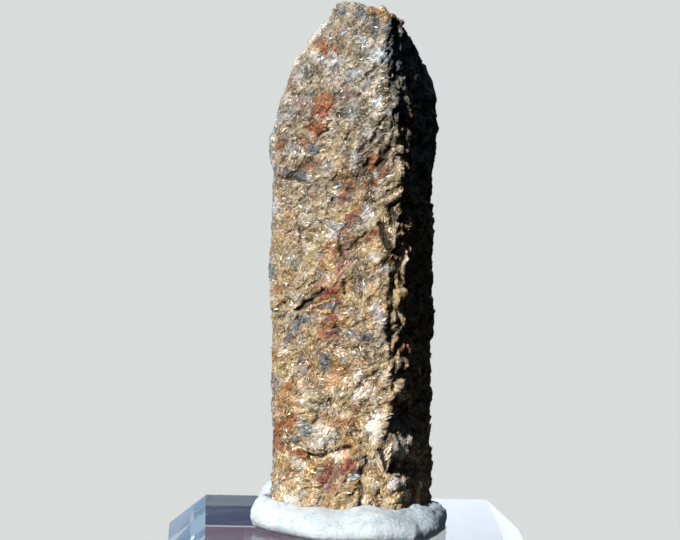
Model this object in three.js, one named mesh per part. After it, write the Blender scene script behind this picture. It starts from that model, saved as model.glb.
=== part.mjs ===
// A chiastolite specimen: one rough, mica-coated andalusite prism with a slanting, weathered tip.
// It stands upright in a pressed ring of white mineral tack on a bevelled block of clear acrylic.
// Millimetres, +Z up. The origin is the middle of the block's underside, and the prism's widest lit
// face looks towards -Y.
import * as THREE from "three";
import { ImprovedNoise } from "three/addons/math/ImprovedNoise.js";

// ---- Driving dimensions, in millimetres and degrees ----

// The block is a stock display base, 1.5 inches square and 1 inch thick.
const BLOCK_SIDE = 38.1;
const BLOCK_HEIGHT = 25.4;
const BLOCK_BEVEL = 3.9;
const BLOCK_FOOT_CHAMFER = 0.4;

// The prism: a nearly square section, turned a little about Z, on a broken flat foot.
const PRISM_SIDE = 14.1;
const PRISM_TURN = -18.7;
const PRISM_HEIGHT = 53.3;
const PRISM_LEAN = 0.024; // sideways for each unit of height, to the left
const FOOT_Z = BLOCK_HEIGHT + 0.9;
const FOOT_TAPER = 0.02;
const FOOT_TAPER_HEIGHT = 20;
const EDGE_SHARPNESS = 9.5;

// An old break across the prism has moved the upper part sideways.
const BREAK_HEIGHT = 35.4;
const BREAK_SHIFT = 0.2;
const BREAK_WIDTH = 1.4;

// The tack: how far it stands out from the prism and how high it climbs. Every other place is a
// face of the prism and the rest are its corners, in turn from the right face.
const TACK_GAP = 0.3;
const TACK_PLACES = [
  { out: 2.2, up: 2.6 }, // right
  { out: 1.4, up: 1.9 },
  { out: 2.4, up: 3.1 }, // back
  { out: 1.7, up: 3.9 },
  { out: 2.8, up: 4.6 }, // left
  { out: 1.9, up: 2.8 },
  { out: 5.5, up: 2.6 }, // front
  { out: 5.2, up: 3.4 },
];

// How finely the surfaces are divided.
const COLUMNS = 56;
const SIDE_ROWS = 49;
const TIP_ROWS = 21;
const TIP_CENTRE_HEIGHT = 40;
const JITTER = 0.22;

const degrees = THREE.MathUtils.degToRad;
const perlin = new ImprovedNoise();

// Smooth noise from about -1 to 1. Its lumps are about size apart, and stretch times that upwards.
function noise(p, { size, seed, stretch = 1 }) {
  return perlin.noise(
    p.x / size + seed,
    p.y / size + seed * 1.7,
    p.z / (size * stretch) + seed * 0.6,
  );
}

// ---- The prism's plain form: flat faces and slanting tip faces, as planes ----

// Each plane is a direction out of the crystal and a point that it passes through.
// Heights are above the prism's foot.
function plane(normal, point) {
  const n = new THREE.Vector3(...normal).normalize();
  return { normal: n, offset: n.dot(new THREE.Vector3(...point)) };
}

function sidePlane(quarter) {
  const angle = degrees(PRISM_TURN + 90 * quarter);
  const n = [Math.cos(angle), Math.sin(angle), 0];
  return plane(n, [n[0] * (PRISM_SIDE / 2), n[1] * (PRISM_SIDE / 2), 0]);
}

const SIDES = [0, 1, 2, 3].map(sidePlane);
const TIP = [
  plane([-0.77, 0.04, 0.63], [-3.5, 0, 50.2]), // steep left shoulder
  plane([-0.94, 0.1, 0.33], [-7.3, 0, 44.2]), // the slope below it
  plane([0.7, 0.16, 0.7], [4.8, 0, 51.2]), // right shoulder
  plane([0.9, 0.14, 0.42], [8.3, 0, 47.4]), // the slope below it
  plane([0.2, 0.34, 0.92], [-0.6, -6.2, PRISM_HEIGHT]), // top, falling away to the back
  plane([-0.1, 0.86, 0.5], [0, 6.3, 44.5]), // back of the tip
];

// The distance from a point inside the form to its surface. The sum rounds off every edge.
function reach(planes, from, direction) {
  let sum = 0;
  for (const { normal, offset } of planes) {
    const facing = normal.dot(direction);
    if (facing > 0)
      sum += (facing / (offset - normal.dot(from))) ** EDGE_SHARPNESS;
  }
  return sum ** (-1 / EDGE_SHARPNESS);
}

// ---- The prism's relief: dents, chips, lumps, ribs and ledges ----

// A point on the front face, by its place to the side and its height.
function onFront(x, height) {
  const { normal, offset } = SIDES[3];
  return new THREE.Vector3(x, (offset - normal.x * x) / normal.y, height);
}

function onSection(angle, height) {
  const from = new THREE.Vector3(0, 0, height);
  const direction = new THREE.Vector3(
    Math.cos(degrees(angle)),
    Math.sin(degrees(angle)),
    0,
  );
  return from.addScaledVector(direction, reach(SIDES, from, direction));
}

const FRONT_RIGHT_EDGE = PRISM_TURN - 45;
const BACK_RIGHT_EDGE = PRISM_TURN + 45;
const FRONT_LEFT_EDGE = PRISM_TURN - 135;

// Each runs from one point to another, is sunk by depth, or raised where that is below 0.
const DENTS = [
  // the groove of the old break, round the left edge
  { from: onFront(-8.6, 35.2), to: onFront(-4.6, 35.9), size: 0.95, depth: 0.3 },
  { from: onSection(170, 35.1), to: onSection(215, 35.2), size: 0.9, depth: 0.3 },
  // pits and ledges on the front face
  { from: onFront(-3.6, 38.3), to: onFront(-3.2, 39.0), size: 0.9, depth: 0.5 },
  { from: onFront(-0.7, 34.8), to: onFront(-0.2, 34.9), size: 0.8, depth: 0.45 },
  { from: onFront(-6.0, 20.3), to: onFront(-2.2, 22.9), size: 0.8, depth: 0.45 },
  { from: onFront(-4.8, 23.1), to: onFront(-2.9, 25.6), size: 0.7, depth: 0.4 },
  { from: onFront(-3.0, 7.9), to: onFront(-0.7, 8.5), size: 0.7, depth: 0.4 },
  { from: onFront(0.9, 2.4), to: onFront(1.1, 6.4), size: 0.6, depth: 0.45 },
  { from: onFront(0.9, 32.0), to: onFront(3.0, 33.2), size: 0.7, depth: 0.35 },
  { from: onFront(-2.7, 46.5), to: onFront(-1.6, 47.4), size: 1.0, depth: 0.3 },
  // swellings on the front face, and a knob at the top
  { from: onFront(-2.6, 17.0), to: onFront(-2.5, 17.4), size: 0.9, depth: -0.4 },
  { from: onFront(2.6, 10.3), to: onFront(2.9, 12.2), size: 1.1, depth: -0.35 },
  { from: onFront(-6.4, 9.0), to: onFront(-5.6, 9.6), size: 1.2, depth: -0.3 },
  { from: onFront(0.2, 42.6), to: onFront(2.6, 43.4), size: 1.3, depth: -0.3 },
  {
    from: new THREE.Vector3(-2.1, -5.9, 52.3),
    to: new THREE.Vector3(-1.3, -5.9, 52.6),
    size: 1,
    depth: -0.55,
  },
  // chips and knobs down the front right edge
  ...[
    [47.6, 1.3, 0.7],
    [43.4, 1.1, -0.4],
    [38.0, 1.5, 0.8],
    [36.2, 0.9, -0.45],
    [31.6, 1.2, 0.75],
    [28.6, 1.1, -0.35],
    [18.0, 1.8, 1.0],
    [14.2, 1.1, -0.3],
    [10.4, 1.4, 0.85],
    [4.6, 1.1, -0.35],
  ].map(([height, size, depth]) => ({
    from: onSection(FRONT_RIGHT_EDGE, height - 0.5),
    to: onSection(FRONT_RIGHT_EDGE, height + 0.5),
    size,
    depth,
  })),
  // the front left edge juts out where the shoulder starts
  { from: onSection(FRONT_LEFT_EDGE, 37.0), to: onSection(FRONT_LEFT_EDGE, 41.2), size: 1.4, depth: -0.55 },
  // the back right edge bulges below the tip and steps in under the old break
  { from: onSection(BACK_RIGHT_EDGE, 38.2), to: onSection(BACK_RIGHT_EDGE, 42.5), size: 1.7, depth: -0.45 },
  { from: onSection(BACK_RIGHT_EDGE, 34.2), to: onSection(BACK_RIGHT_EDGE, 34.4), size: 0.8, depth: 0.4 },
  { from: onSection(BACK_RIGHT_EDGE, 16.2), to: onSection(BACK_RIGHT_EDGE, 16.9), size: 1.0, depth: 0.35 },
  // hollows on the shaded right face, and pits on the back and left ones
  { from: onSection(-8, 44.0), to: onSection(-12, 38.5), size: 1.3, depth: 0.5 },
  { from: onSection(-28, 29.0), to: onSection(-22, 22.5), size: 1.1, depth: 0.55 },
  { from: onSection(4, 20.0), to: onSection(2, 13.5), size: 1.2, depth: 0.5 },
  { from: onSection(-34, 8.0), to: onSection(-30, 4.0), size: 1.0, depth: 0.5 },
  { from: onSection(78, 41.0), to: onSection(92, 38.0), size: 1.4, depth: 0.5 },
  { from: onSection(58, 27.5), to: onSection(80, 25.0), size: 1.2, depth: 0.5 },
  { from: onSection(96, 14.0), to: onSection(88, 9.5), size: 1.3, depth: 0.5 },
  { from: onSection(150, 30.0), to: onSection(158, 24.0), size: 1.3, depth: 0.5 },
  { from: onSection(186, 17.5), to: onSection(178, 12.5), size: 1.1, depth: 0.45 },
];

function dentAt(p) {
  let depth = 0;
  const nearest = new THREE.Vector3();
  const line = new THREE.Line3();
  for (const dent of DENTS) {
    line.set(dent.from, dent.to).closestPointToPoint(p, true, nearest);
    const away = p.distanceTo(nearest) / dent.size;
    if (away < 3) depth += dent.depth * Math.exp(-away * away);
  }
  return depth;
}

// Thin sheets of the rock crop out as slanting ledges that wave and fade in and out.
const LEDGE_ACROSS = new THREE.Vector3(-0.45, 0.15, 0.88).normalize();
const LEDGE_SPACING = 2.7;
const LEDGE_STEP = 0.3;
const LEDGE_WAVES = { size: 5, seed: 3.1, height: 0.9 };
const LEDGE_FADING = { size: 6, seed: 9.4 };

function ledgeAt(p) {
  const wave = LEDGE_WAVES.height * noise(p, LEDGE_WAVES);
  const along = p.dot(LEDGE_ACROSS) / LEDGE_SPACING + wave;
  const climb = along - Math.floor(along);
  const strength = THREE.MathUtils.smoothstep(noise(p, LEDGE_FADING), -0.25, 0.35);
  return LEDGE_STEP * strength * (climb - 0.5);
}

const ROUGHNESS = [
  { height: 0.34, size: 8, seed: 1.3 }, // long swells
  { height: 0.3, size: 2.9, seed: 5.7 }, // lumps
  { height: 0.26, size: 1.9, seed: 2.2, stretch: 3 }, // ribs along the prism
  { height: 0.16, size: 1.3, seed: 7.9 }, // grain
];

function reliefAt(p) {
  let relief = ledgeAt(p) - dentAt(p);
  for (const layer of ROUGHNESS) relief += layer.height * noise(p, layer);
  return relief;
}

// ---- Closed skins: rings of points between two end points ----

function closedSkin(bottom, rings, top) {
  const columns = rings[0].length;
  const points = [bottom, ...rings.flat(), top];
  const last = points.length - 1;
  const at = (ring, column) => 1 + ring * columns + (column % columns);
  const index = [];
  for (let c = 0; c < columns; c++) {
    index.push(0, at(0, c + 1), at(0, c));
    index.push(last, at(rings.length - 1, c), at(rings.length - 1, c + 1));
    for (let r = 0; r + 1 < rings.length; r++) {
      const [a, b] = [at(r, c), at(r, c + 1)];
      const [d, e] = [at(r + 1, c), at(r + 1, c + 1)];
      // the diagonal alternates, so that the facets don't all lean one way
      if ((r + c) % 2) index.push(a, b, e, a, e, d);
      else index.push(a, b, d, b, e, d);
    }
  }
  const geometry = new THREE.BufferGeometry().setFromPoints(points);
  geometry.setIndex(index);
  geometry.computeVertexNormals();
  return geometry;
}

// A repeatable number from -0.5 to 0.5 for each point of a grid.
function shake(a, b, kind) {
  const s = Math.sin(a * 127.1 + b * 311.7 + kind * 74.7) * 43758.5453;
  return s - Math.floor(s) - 0.5;
}

// ---- The crystal ----

// A point of the finished surface: the plain form, then its relief and the shift of the old break.
function crystalPoint(from, direction) {
  const low = Math.max(0, 1 - from.z / FOOT_TAPER_HEIGHT);
  const distance =
    reach([...SIDES, ...TIP], from, direction) * (1 - FOOT_TAPER * low);
  const p = from.clone().addScaledVector(direction, distance);
  p.addScaledVector(direction, reliefAt(p));
  const above = THREE.MathUtils.smoothstep(
    p.z,
    BREAK_HEIGHT - BREAK_WIDTH / 2,
    BREAK_HEIGHT + BREAK_WIDTH / 2,
  );
  p.x += BREAK_SHIFT * above - PRISM_LEAN * p.z;
  return p;
}

// Row 0 is the foot's rim. Side rows look straight out from the axis, and tip rows fan up to the top.
function crystalRay(row, column) {
  const inside = row > 0 ? JITTER : 0;
  const turn =
    ((column + inside * shake(row, column, 1)) / COLUMNS) * Math.PI * 2;
  const step = row + inside * shake(row, column, 2);
  const height = Math.min(step / SIDE_ROWS, 1) * TIP_CENTRE_HEIGHT;
  const rise =
    (Math.max(step - SIDE_ROWS, 0) / (TIP_ROWS + 1)) * (Math.PI / 2);
  return {
    from: new THREE.Vector3(0, 0, height),
    direction: new THREE.Vector3(
      Math.cos(turn) * Math.cos(rise),
      Math.sin(turn) * Math.cos(rise),
      Math.sin(rise),
    ),
  };
}

function crystalGeometry() {
  const rings = [];
  for (let row = 0; row <= SIDE_ROWS + TIP_ROWS; row++) {
    const ring = [];
    for (let column = 0; column < COLUMNS; column++) {
      const { from, direction } = crystalRay(row, column);
      ring.push(crystalPoint(from, direction));
    }
    rings.push(ring);
  }
  const up = new THREE.Vector3(0, 0, 1);
  const top = crystalPoint(new THREE.Vector3(0, 0, TIP_CENTRE_HEIGHT), up);
  return closedSkin(new THREE.Vector3(0, 0, 0), rings, top).translate(0, 0, FOOT_Z);
}

// ---- The mineral tack ----

// A closed curve through the places, read as how far out and how high up the tack is.
const TACK_CURVE = new THREE.CatmullRomCurve3(
  TACK_PLACES.map(({ out, up }) => new THREE.Vector3(out, up, 0)),
  true,
  "catmullrom",
);

function aroundTack(turn) {
  const share = turn / (Math.PI * 2) - PRISM_TURN / 360;
  const { x, y } = TACK_CURVE.getPoint(share - Math.floor(share));
  return { out: x, up: y };
}

// One cut through the tack, from its floor under the crystal to its underside: distance out from
// the crystal's wall and height above the block, in shares of how far it stands out and climbs.
const TACK_CUT = [
  { out: 0, up: 0.45 },
  { out: 0, up: 0.93 },
  { out: 0.22, up: 1 },
  { out: 0.62, up: 0.86 },
  { out: 0.92, up: 0.58 },
  { out: 1, up: 0.36 },
  { out: 0.93, up: 0.13 },
  { out: 0.82, up: 0 },
];
const TACK_COLUMNS = 56;
const TACK_LUMPS = { height: 0.45, size: 3.4, seed: 11.3 }; // the height is a share of the cut
const TACK_WALL_LEFT = 0.5; // the least height of the wall round the floor

function tackGeometry() {
  const floor = FOOT_Z - BLOCK_HEIGHT;
  const rings = [[]].concat(TACK_CUT.map(() => []));
  for (let column = 0; column < TACK_COLUMNS; column++) {
    const turn = (column / TACK_COLUMNS) * Math.PI * 2;
    const direction = new THREE.Vector3(Math.cos(turn), Math.sin(turn), 0);
    const place = aroundTack(turn);
    const wall = (height) => {
      const from = new THREE.Vector3(0, 0, Math.max(height - floor, 0));
      const p = crystalPoint(from, direction);
      return Math.hypot(p.x, p.y) + TACK_GAP;
    };
    rings[0].push(direction.clone().multiplyScalar(wall(floor)).setZ(floor));
    TACK_CUT.forEach(({ out, up }, i) => {
      const p = direction.clone().multiplyScalar(PRISM_SIDE / 2).setZ(up);
      const knead = up > 0 ? 1 + TACK_LUMPS.height * noise(p, TACK_LUMPS) : 1;
      const onWall = out === 0;
      const rise = onWall
        ? Math.max(place.up * up, floor + TACK_WALL_LEFT)
        : place.up * up * knead;
      const radius = wall(rise) + out * place.out * knead;
      rings[i + 1].push(direction.clone().multiplyScalar(radius).setZ(rise));
    });
  }
  rings.reverse();
  return closedSkin(
    new THREE.Vector3(0, 0, 0),
    rings,
    new THREE.Vector3(0, 0, floor),
  ).translate(0, 0, BLOCK_HEIGHT);
}

// ---- The acrylic block ----

// A lathe of four steps turns its profile into a square block with a bevelled top.
function blockGeometry() {
  const corner = (distance) => distance * Math.SQRT2;
  const half = BLOCK_SIDE / 2;
  const profile = [
    new THREE.Vector2(0, 0),
    new THREE.Vector2(corner(half - BLOCK_FOOT_CHAMFER), 0),
    new THREE.Vector2(corner(half), BLOCK_FOOT_CHAMFER),
    new THREE.Vector2(corner(half), BLOCK_HEIGHT - BLOCK_BEVEL),
    new THREE.Vector2(corner(half - BLOCK_BEVEL), BLOCK_HEIGHT),
    new THREE.Vector2(0, BLOCK_HEIGHT),
  ];
  return new THREE.LatheGeometry(profile, 4, Math.PI / 4).rotateX(Math.PI / 2);
}

// ---- The three pieces ----

function piece(name, geometry, finish) {
  const mesh = new THREE.Mesh(geometry, new THREE.MeshStandardMaterial(finish));
  mesh.name = name;
  return mesh;
}

const specimen = new THREE.Group();
specimen.add(
  piece("crystal", crystalGeometry(), {
    color: 0xa5927a,
    roughness: 0.7,
    metalness: 0,
    flatShading: true,
  }),
  piece("mineral_tack", tackGeometry(), {
    color: 0xe9eeee,
    roughness: 0.8,
    metalness: 0,
  }),
  piece("acrylic_block", blockGeometry(), {
    color: 0xdfe6ee,
    roughness: 0.05,
    metalness: 0,
    transparent: true,
    opacity: 0.35,
  }),
);

export default specimen;
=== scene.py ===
"""Dresses the chiastolite specimen: its mica skin and flakes, the pressed tack and the acrylic block.

Lengths are metres once a mesh is made. The tables of places are in millimetres: across is along a face of
the prism, from its middle and to the right as it is looked at, and height is above the prism's foot.
"""

import functools
import itertools
import math
from typing import NamedTuple

import bpy
import numpy as np
from bpy.props import FloatProperty, FloatVectorProperty, IntProperty, PointerProperty
from mathutils import Matrix, Vector
from mathutils.bvhtree import BVHTree


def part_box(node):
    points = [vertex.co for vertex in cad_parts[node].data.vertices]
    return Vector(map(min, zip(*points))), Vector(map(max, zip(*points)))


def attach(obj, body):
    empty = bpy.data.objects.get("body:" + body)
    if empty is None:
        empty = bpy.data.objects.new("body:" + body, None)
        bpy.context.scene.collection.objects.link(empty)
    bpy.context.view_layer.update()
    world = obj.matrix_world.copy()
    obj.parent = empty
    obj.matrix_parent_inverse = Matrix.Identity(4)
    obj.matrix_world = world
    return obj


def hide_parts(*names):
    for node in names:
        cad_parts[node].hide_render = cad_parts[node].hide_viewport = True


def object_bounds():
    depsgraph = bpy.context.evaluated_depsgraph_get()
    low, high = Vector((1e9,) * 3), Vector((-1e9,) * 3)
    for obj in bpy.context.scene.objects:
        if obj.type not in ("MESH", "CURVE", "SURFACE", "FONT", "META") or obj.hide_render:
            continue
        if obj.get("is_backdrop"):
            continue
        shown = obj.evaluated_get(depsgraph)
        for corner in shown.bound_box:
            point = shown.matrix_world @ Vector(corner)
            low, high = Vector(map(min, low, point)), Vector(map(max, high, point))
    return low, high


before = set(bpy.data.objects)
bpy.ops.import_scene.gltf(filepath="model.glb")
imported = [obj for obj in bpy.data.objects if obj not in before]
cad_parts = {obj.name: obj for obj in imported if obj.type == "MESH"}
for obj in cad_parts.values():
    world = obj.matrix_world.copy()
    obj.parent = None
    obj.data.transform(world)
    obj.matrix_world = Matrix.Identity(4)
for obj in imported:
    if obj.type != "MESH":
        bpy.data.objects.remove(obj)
CAD_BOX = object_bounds()

bl_info = {
    "name": "Chiastolite Specimen",
    "version": (1, 0, 0),
    "blender": (4, 5, 0),
    "location": "View3D > Sidebar > Chiastolite",
    "description": "Mica skin, flakes, mineral tack and a clear block for a chiastolite crystal",
    "category": "Add Mesh",
}

MM = 0.001
BODY = "root"


def linear(code):
    """The linear colour of an sRGB hex code."""
    shares = [int(code[i : i + 2], 16) / 255 for i in (1, 3, 5)]
    return tuple(s / 12.92 if s <= 0.04045 else ((s + 0.055) / 1.055) ** 2.4 for s in shares)


# ---- The prism's form, as the solid has it ----

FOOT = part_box("crystal")[0].z
BLOCK_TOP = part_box("acrylic_block")[1].z
PRISM_TURN = math.radians(-18.7)
PRISM_HALF = 7.05 * MM
PRISM_LEAN = 0.024
FACES = ("right", "back", "left", "front")
FACING = 0.5 * PRISM_HALF  # what is less far out than this isn't on the face but round its edge


def face_frame(face):
    """The outward direction of a face of the prism, and the one to the right along it."""
    turn = PRISM_TURN + math.pi / 2 * FACES.index(face)
    return (
        np.array([math.cos(turn), math.sin(turn), 0.0]),
        np.array([-math.sin(turn), math.cos(turn), 0.0]),
    )


def axis_point(height):
    """The middle of the leaning prism, height above its foot."""
    return np.array([-PRISM_LEAN * height, 0.0, FOOT + height])


def on_face(points, face):
    """How far out of, across and up a face each point is."""
    out, across = face_frame(face)
    height = points[:, 2] - FOOT
    flat = points.copy()
    flat[:, 0] += PRISM_LEAN * height
    return flat @ out, flat @ across, height


# ---- Repeatable noise over arrays of points ----


def random_at(cells, seed):
    """A repeatable number from 0 to 1 for each whole-numbered cell."""
    c = cells.astype(np.int64).astype(np.uint64)
    mixed = c[..., 0] * np.uint64(0x9E3779B97F4A7C15)
    mixed ^= c[..., 1] * np.uint64(0xC2B2AE3D27D4EB4F)
    mixed ^= c[..., 2] * np.uint64(0x165667B19E3779F9)
    mixed ^= np.uint64(seed * 0x27D4EB2F)
    mixed ^= mixed >> np.uint64(29)
    mixed *= np.uint64(0xBF58476D1CE4E5B9)
    mixed ^= mixed >> np.uint64(32)
    return (mixed & np.uint64(0xFFFFFF)).astype(float) / 0x1000000


def noise(points, size, seed, stretch=1.0):
    """Smooth noise from -1 to 1. Its lumps are about size apart, and stretch times that upwards."""
    p = points / np.array([size, size, size * stretch])
    cell = np.floor(p)
    f = p - cell
    f = f * f * (3 - 2 * f)
    total = np.zeros(len(points))
    for corner in itertools.product((0, 1), repeat=3):
        weight = np.prod(np.where(corner, f, 1 - f), axis=1)
        total += weight * random_at(cell + corner, seed)
    return 2 * total - 1


def patches(points, size, seed):
    """The nearest of a jittered grid of patches, about size apart, for each point.

    Returns the patch's cell and the way from the patch's middle to the point, in sizes."""
    p = points / size
    home = np.floor(p)
    nearest = np.full(len(points), np.inf)
    cell = np.zeros_like(p)
    way = np.zeros_like(p)
    for step in itertools.product((-1, 0, 1), repeat=3):
        c = home + step
        middle = c + np.stack([random_at(c, seed + k) for k in (1, 2, 3)], axis=1)
        gap = np.sum((p - middle) ** 2, axis=1)
        closer = gap < nearest
        nearest = np.where(closer, gap, nearest)
        cell[closer] = c[closer]
        way[closer] = (p - middle)[closer]
    return cell, way


def plates(points, size, seed, tilt, step):
    """Flat plates of mica, about size apart, each tilted and stepped in its own way."""
    cell, way = patches(points, size, seed)
    lean = np.stack([2 * random_at(cell, seed + k) - 1 for k in (4, 5, 6)], axis=1)
    rise = step * (2 * random_at(cell, seed + 7) - 1)
    return size * (rise + tilt * np.sum(lean * way, axis=1))


def smoothstep(value, low, high):
    t = np.clip((value - low) / (high - low), 0, 1)
    return t * t * (3 - 2 * t)


# ---- Stains, cracks and lumps, listed one by one ----


class Mark(NamedTuple):
    """A stain or a lump on a face: its middle, its half width and height, its slant in degrees, and
    how strong it is, which for a lump is its rise."""

    across: float
    height: float
    wide: float
    tall: float
    slant: float = 0.0
    strength: float = 1.0


def across_mark(mark, across, height):
    """How far along and up a mark each place is, in its half widths and heights."""
    x = across / MM - mark.across
    y = height / MM - mark.height
    slant = math.radians(mark.slant)
    along = x * math.cos(slant) + y * math.sin(slant)
    up = y * math.cos(slant) - x * math.sin(slant)
    return along / mark.wide, up / mark.tall


STAINS = {
    # iron rust in the weathered mica
    ("rust", "front"): (
        (-1.2, 48.5, 1.3, 0.8, -10, 1.2), (-1.0, 42.4, 1.3, 1.3, -15, 1.4),
        (-1.7, 40.4, 1.0, 1.2, -15, 1.2), (-2.6, 38.9, 1.0, 0.7), (-5.4, 38.2, 0.6, 0.6, 0, 1.4),
        (-2.4, 36.5, 1.2, 0.7, 20), (4.0, 36.8, 0.9, 1.3, -10, 1.2), (3.7, 34.9, 1.4, 0.6, 15, 1.2),
        (1.5, 34.5, 0.8, 0.8, 0, 1.1), (1.8, 28.4, 0.9, 1.6, -20, 0.6), (0.1, 24.3, 1.5, 1.0, 10, 0.9),
        (-0.3, 19.6, 1.1, 0.9), (-4.3, 7.2, 1.8, 0.6, -8, 1.7), (-6.0, 8.3, 0.7, 1.4, 0, 1.5),
        (-4.8, 10.2, 1.2, 0.6, 15, 1.3), (-4.6, 13.9, 0.5, 0.5), (2.4, 11.6, 0.6, 1.6, -10, 0.6),
    ),
    # oxide red
    ("red", "front"): (
        (-0.9, 47.6, 0.7, 0.5, 0, 0.8), (-3.1, 42.5, 1.2, 1.0, 0, 0.6), (-0.9, 41.7, 0.6, 0.6, 0, 0.9),
        (1.4, 43.8, 1.1, 0.8, 0, 0.6), (5.2, 36.4, 0.8, 0.9, 0, 0.8), (1.5, 34.3, 0.5, 0.5, 0, 0.8),
        (1.0, 27.1, 0.7, 1.6, -15, 0.8), (0.9, 33.1, 0.7, 0.5, 0, 1.0), (1.7, 31.3, 0.4, 0.7, -20, 1.7),
        (4.4, 30.1, 0.8, 0.4, 20, 1.4), (3.7, 29.4, 0.4, 0.4, 0, 1.1), (-0.6, 23.6, 0.9, 0.8, 10, 1.0),
        (0.6, 22.9, 0.5, 0.6, 0, 1.1), (-0.2, 21.2, 0.8, 0.5, 0, 1.2), (-0.1, 19.3, 0.6, 0.5, 0, 1.1),
        (-0.6, 5.3, 0.7, 1.3, -15, 1.8), (1.4, 6.1, 1.1, 0.6, 25, 1.5), (0.9, 10.9, 0.7, 0.6, 0, 0.7),
    ),
    ("ochre", "front"): (
        (4.4, 52.0, 1.2, 0.5, -15, 1.5), (-0.3, 52.5, 0.9, 0.5, 0, 0.7), (5.7, 50.9, 0.5, 0.4, 0, 1.1),
        (-5.0, 44.9, 0.4, 1.4, 25, 1.2), (2.4, 32.2, 0.5, 0.8, -20, 1.2), (-6.0, 23.6, 1.0, 0.5, 15, 0.9),
        (0.8, 15.9, 1.5, 0.7, 0, 1.0), (-1.3, 18.0, 1.5, 0.6, 0, 0.7), (-2.2, 17.0, 0.9, 0.6, 0, 0.7),
        (1.6, 8.0, 0.7, 1.4, -20, 0.8), (-2.2, 5.3, 0.7, 0.9, 0, 1.0), (0.1, 3.8, 0.6, 0.5, 30, 1.6),
        (4.5, 3.2, 0.9, 0.6, 20, 0.8),
    ),
    # graphite and dark schist
    ("graphite", "front"): (
        (1.0, 52.1, 0.8, 0.5, 0, 1.0), (3.1, 51.9, 0.7, 0.5, 0, 1.3), (4.4, 50.6, 0.5, 1.2, 0, 1.0),
        (6.1, 8.6, 0.7, 0.9, 0, 0.8), (6.4, 47.6, 0.9, 2.6, 10, 1.7), (7.0, 43.0, 0.5, 2.0, 0, 1.2),
        (3.6, 44.8, 0.7, 0.3, 35, 1.0), (-2.1, 38.2, 0.6, 0.7, 0, 1.3), (-4.1, 35.6, 1.9, 0.5, -6, 1.4),
        (0.6, 34.6, 0.6, 0.4, 0, 1.0), (-6.6, 25.4, 0.7, 0.9, 0, 0.9), (-0.6, 22.3, 1.3, 0.35, 15, 1.4),
        (-2.9, 20.9, 1.7, 0.35, 28, 1.3), (-4.4, 19.4, 1.2, 0.9, 0, 0.9), (1.8, 19.7, 0.9, 0.4, 20, 0.9),
        (3.7, 19.5, 0.8, 0.45, 0, 1.4), (-0.7, 16.7, 0.45, 0.75, -20, 1.8), (1.3, 17.0, 0.4, 0.4, 0, 0.9),
        (-6.3, 14.2, 0.5, 1.0, 0, 0.7), (-2.9, 9.8, 0.5, 1.1, 20, 1.3), (-4.0, 8.6, 0.7, 0.6, 0, 1.0),
        (1.9, 5.1, 0.8, 0.4, 30, 1.2),
    ),
    # fresh silvery plates of mica; the first two are a painted sheen down the front left edge
    ("silver", "front"): (
        (-6.75, 12.0, 0.35, 9.0, 1.5, 0.9), (-6.7, 33.0, 0.35, 9.0, -1.5, 0.9),
        (1.3, 50.0, 0.6, 0.4, 20, 1.1), (3.2, 49.3, 0.8, 0.5, 0, 1.1), (4.9, 48.0, 0.9, 0.5, 15, 1.5),
        (0.4, 47.0, 0.9, 0.6, 20, 0.9), (2.2, 45.9, 1.0, 0.5, 30, 1.1), (4.8, 43.1, 0.8, 0.6, 0, 1.5),
        (5.7, 42.3, 0.6, 0.5, 0, 1.3), (-6.6, 40.6, 0.5, 1.2, 0, 1.3), (3.9, 40.0, 0.5, 0.4, 0, 1.3),
        (-4.5, 38.1, 0.5, 0.4, 0, 1.4), (2.7, 37.8, 0.6, 0.5, 0, 1.2), (4.2, 34.3, 0.4, 0.35, 0, 1.4),
        (-6.1, 32.5, 0.5, 1.0, 0, 1.2), (3.3, 32.2, 0.8, 0.8, 0, 0.9), (0.3, 30.2, 0.7, 1.2, -10, 1.1),
        (5.5, 26.4, 0.7, 0.5, 20, 1.5), (4.8, 22.0, 0.5, 0.9, 0, 1.4), (0.8, 21.5, 0.5, 0.4, 0, 1.5),
        (6.2, 4.8, 0.6, 0.5, 30, 1.2),
    ),
    # broad satiny plates, partly a painted sheen; the first is a painted sheen down the front left
    # edge, and the next two are the rim of the tip, painted as a highlight where the lamp catches it
    ("satin", "front"): (
        (-6.8, 22.0, 0.35, 8.0, 0, 0.9), (-4.55, 47.0, 2.9, 0.5, 55, 4.0),
        (-2.5, 50.0, 2.5, 0.75, 52, 4.0), (5.0, 51.4, 0.4, 0.4, 0, 1.3), (-3.4, 29.6, 0.7, 0.6, -30, 1.0),
        (4.4, 27.7, 0.8, 0.6, 0, 0.9), (2.6, 31.0, 2.0, 1.2, 20, 0.75), (-3.6, 33.0, 1.6, 1.2, 0, 0.6),
        (2.1, 15.2, 0.9, 0.6, 35, 1.8), (3.5, 13.9, 1.2, 0.8, 15, 1.8), (0.8, 13.9, 1.2, 0.8, 0, 0.7),
        (4.5, 10.3, 0.8, 1.6, -8, 1.9), (-1.2, 9.2, 1.5, 1.1, 10, 1.5), (0.6, 6.9, 0.9, 0.4, 25, 1.3),
        (-4.4, 2.2, 0.9, 0.6, 0, 1.2), (3.3, 2.6, 0.6, 1.0, 0, 0.9),
    ),
    # along the shaded right face
    ("rust", "right"): (
        (-3.8, 18.0, 1.0, 1.6, 0, 1.3), (-1.8, 6.2, 1.0, 1.2, 0, 1.2),
    ),
    ("red", "right"): (
        (-4.1, 41.6, 0.5, 0.6, 0, 1.2), (-3.0, 16.2, 0.4, 0.6, 0, 0.7),
    ),
    ("ochre", "right"): (
        (-0.9, 32.3, 0.5, 1.3), (-0.9, 13.8, 0.9, 1.2),
    ),
    ("graphite", "right"): (
        (-4.3, 8.2, 0.9, 1.1, 0, 0.8), (-3.4, 45.6, 1.2, 1.6, 0, 1.0), (-3.8, 38.6, 0.7, 1.6, 0, 0.8),
    ),
}

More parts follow.
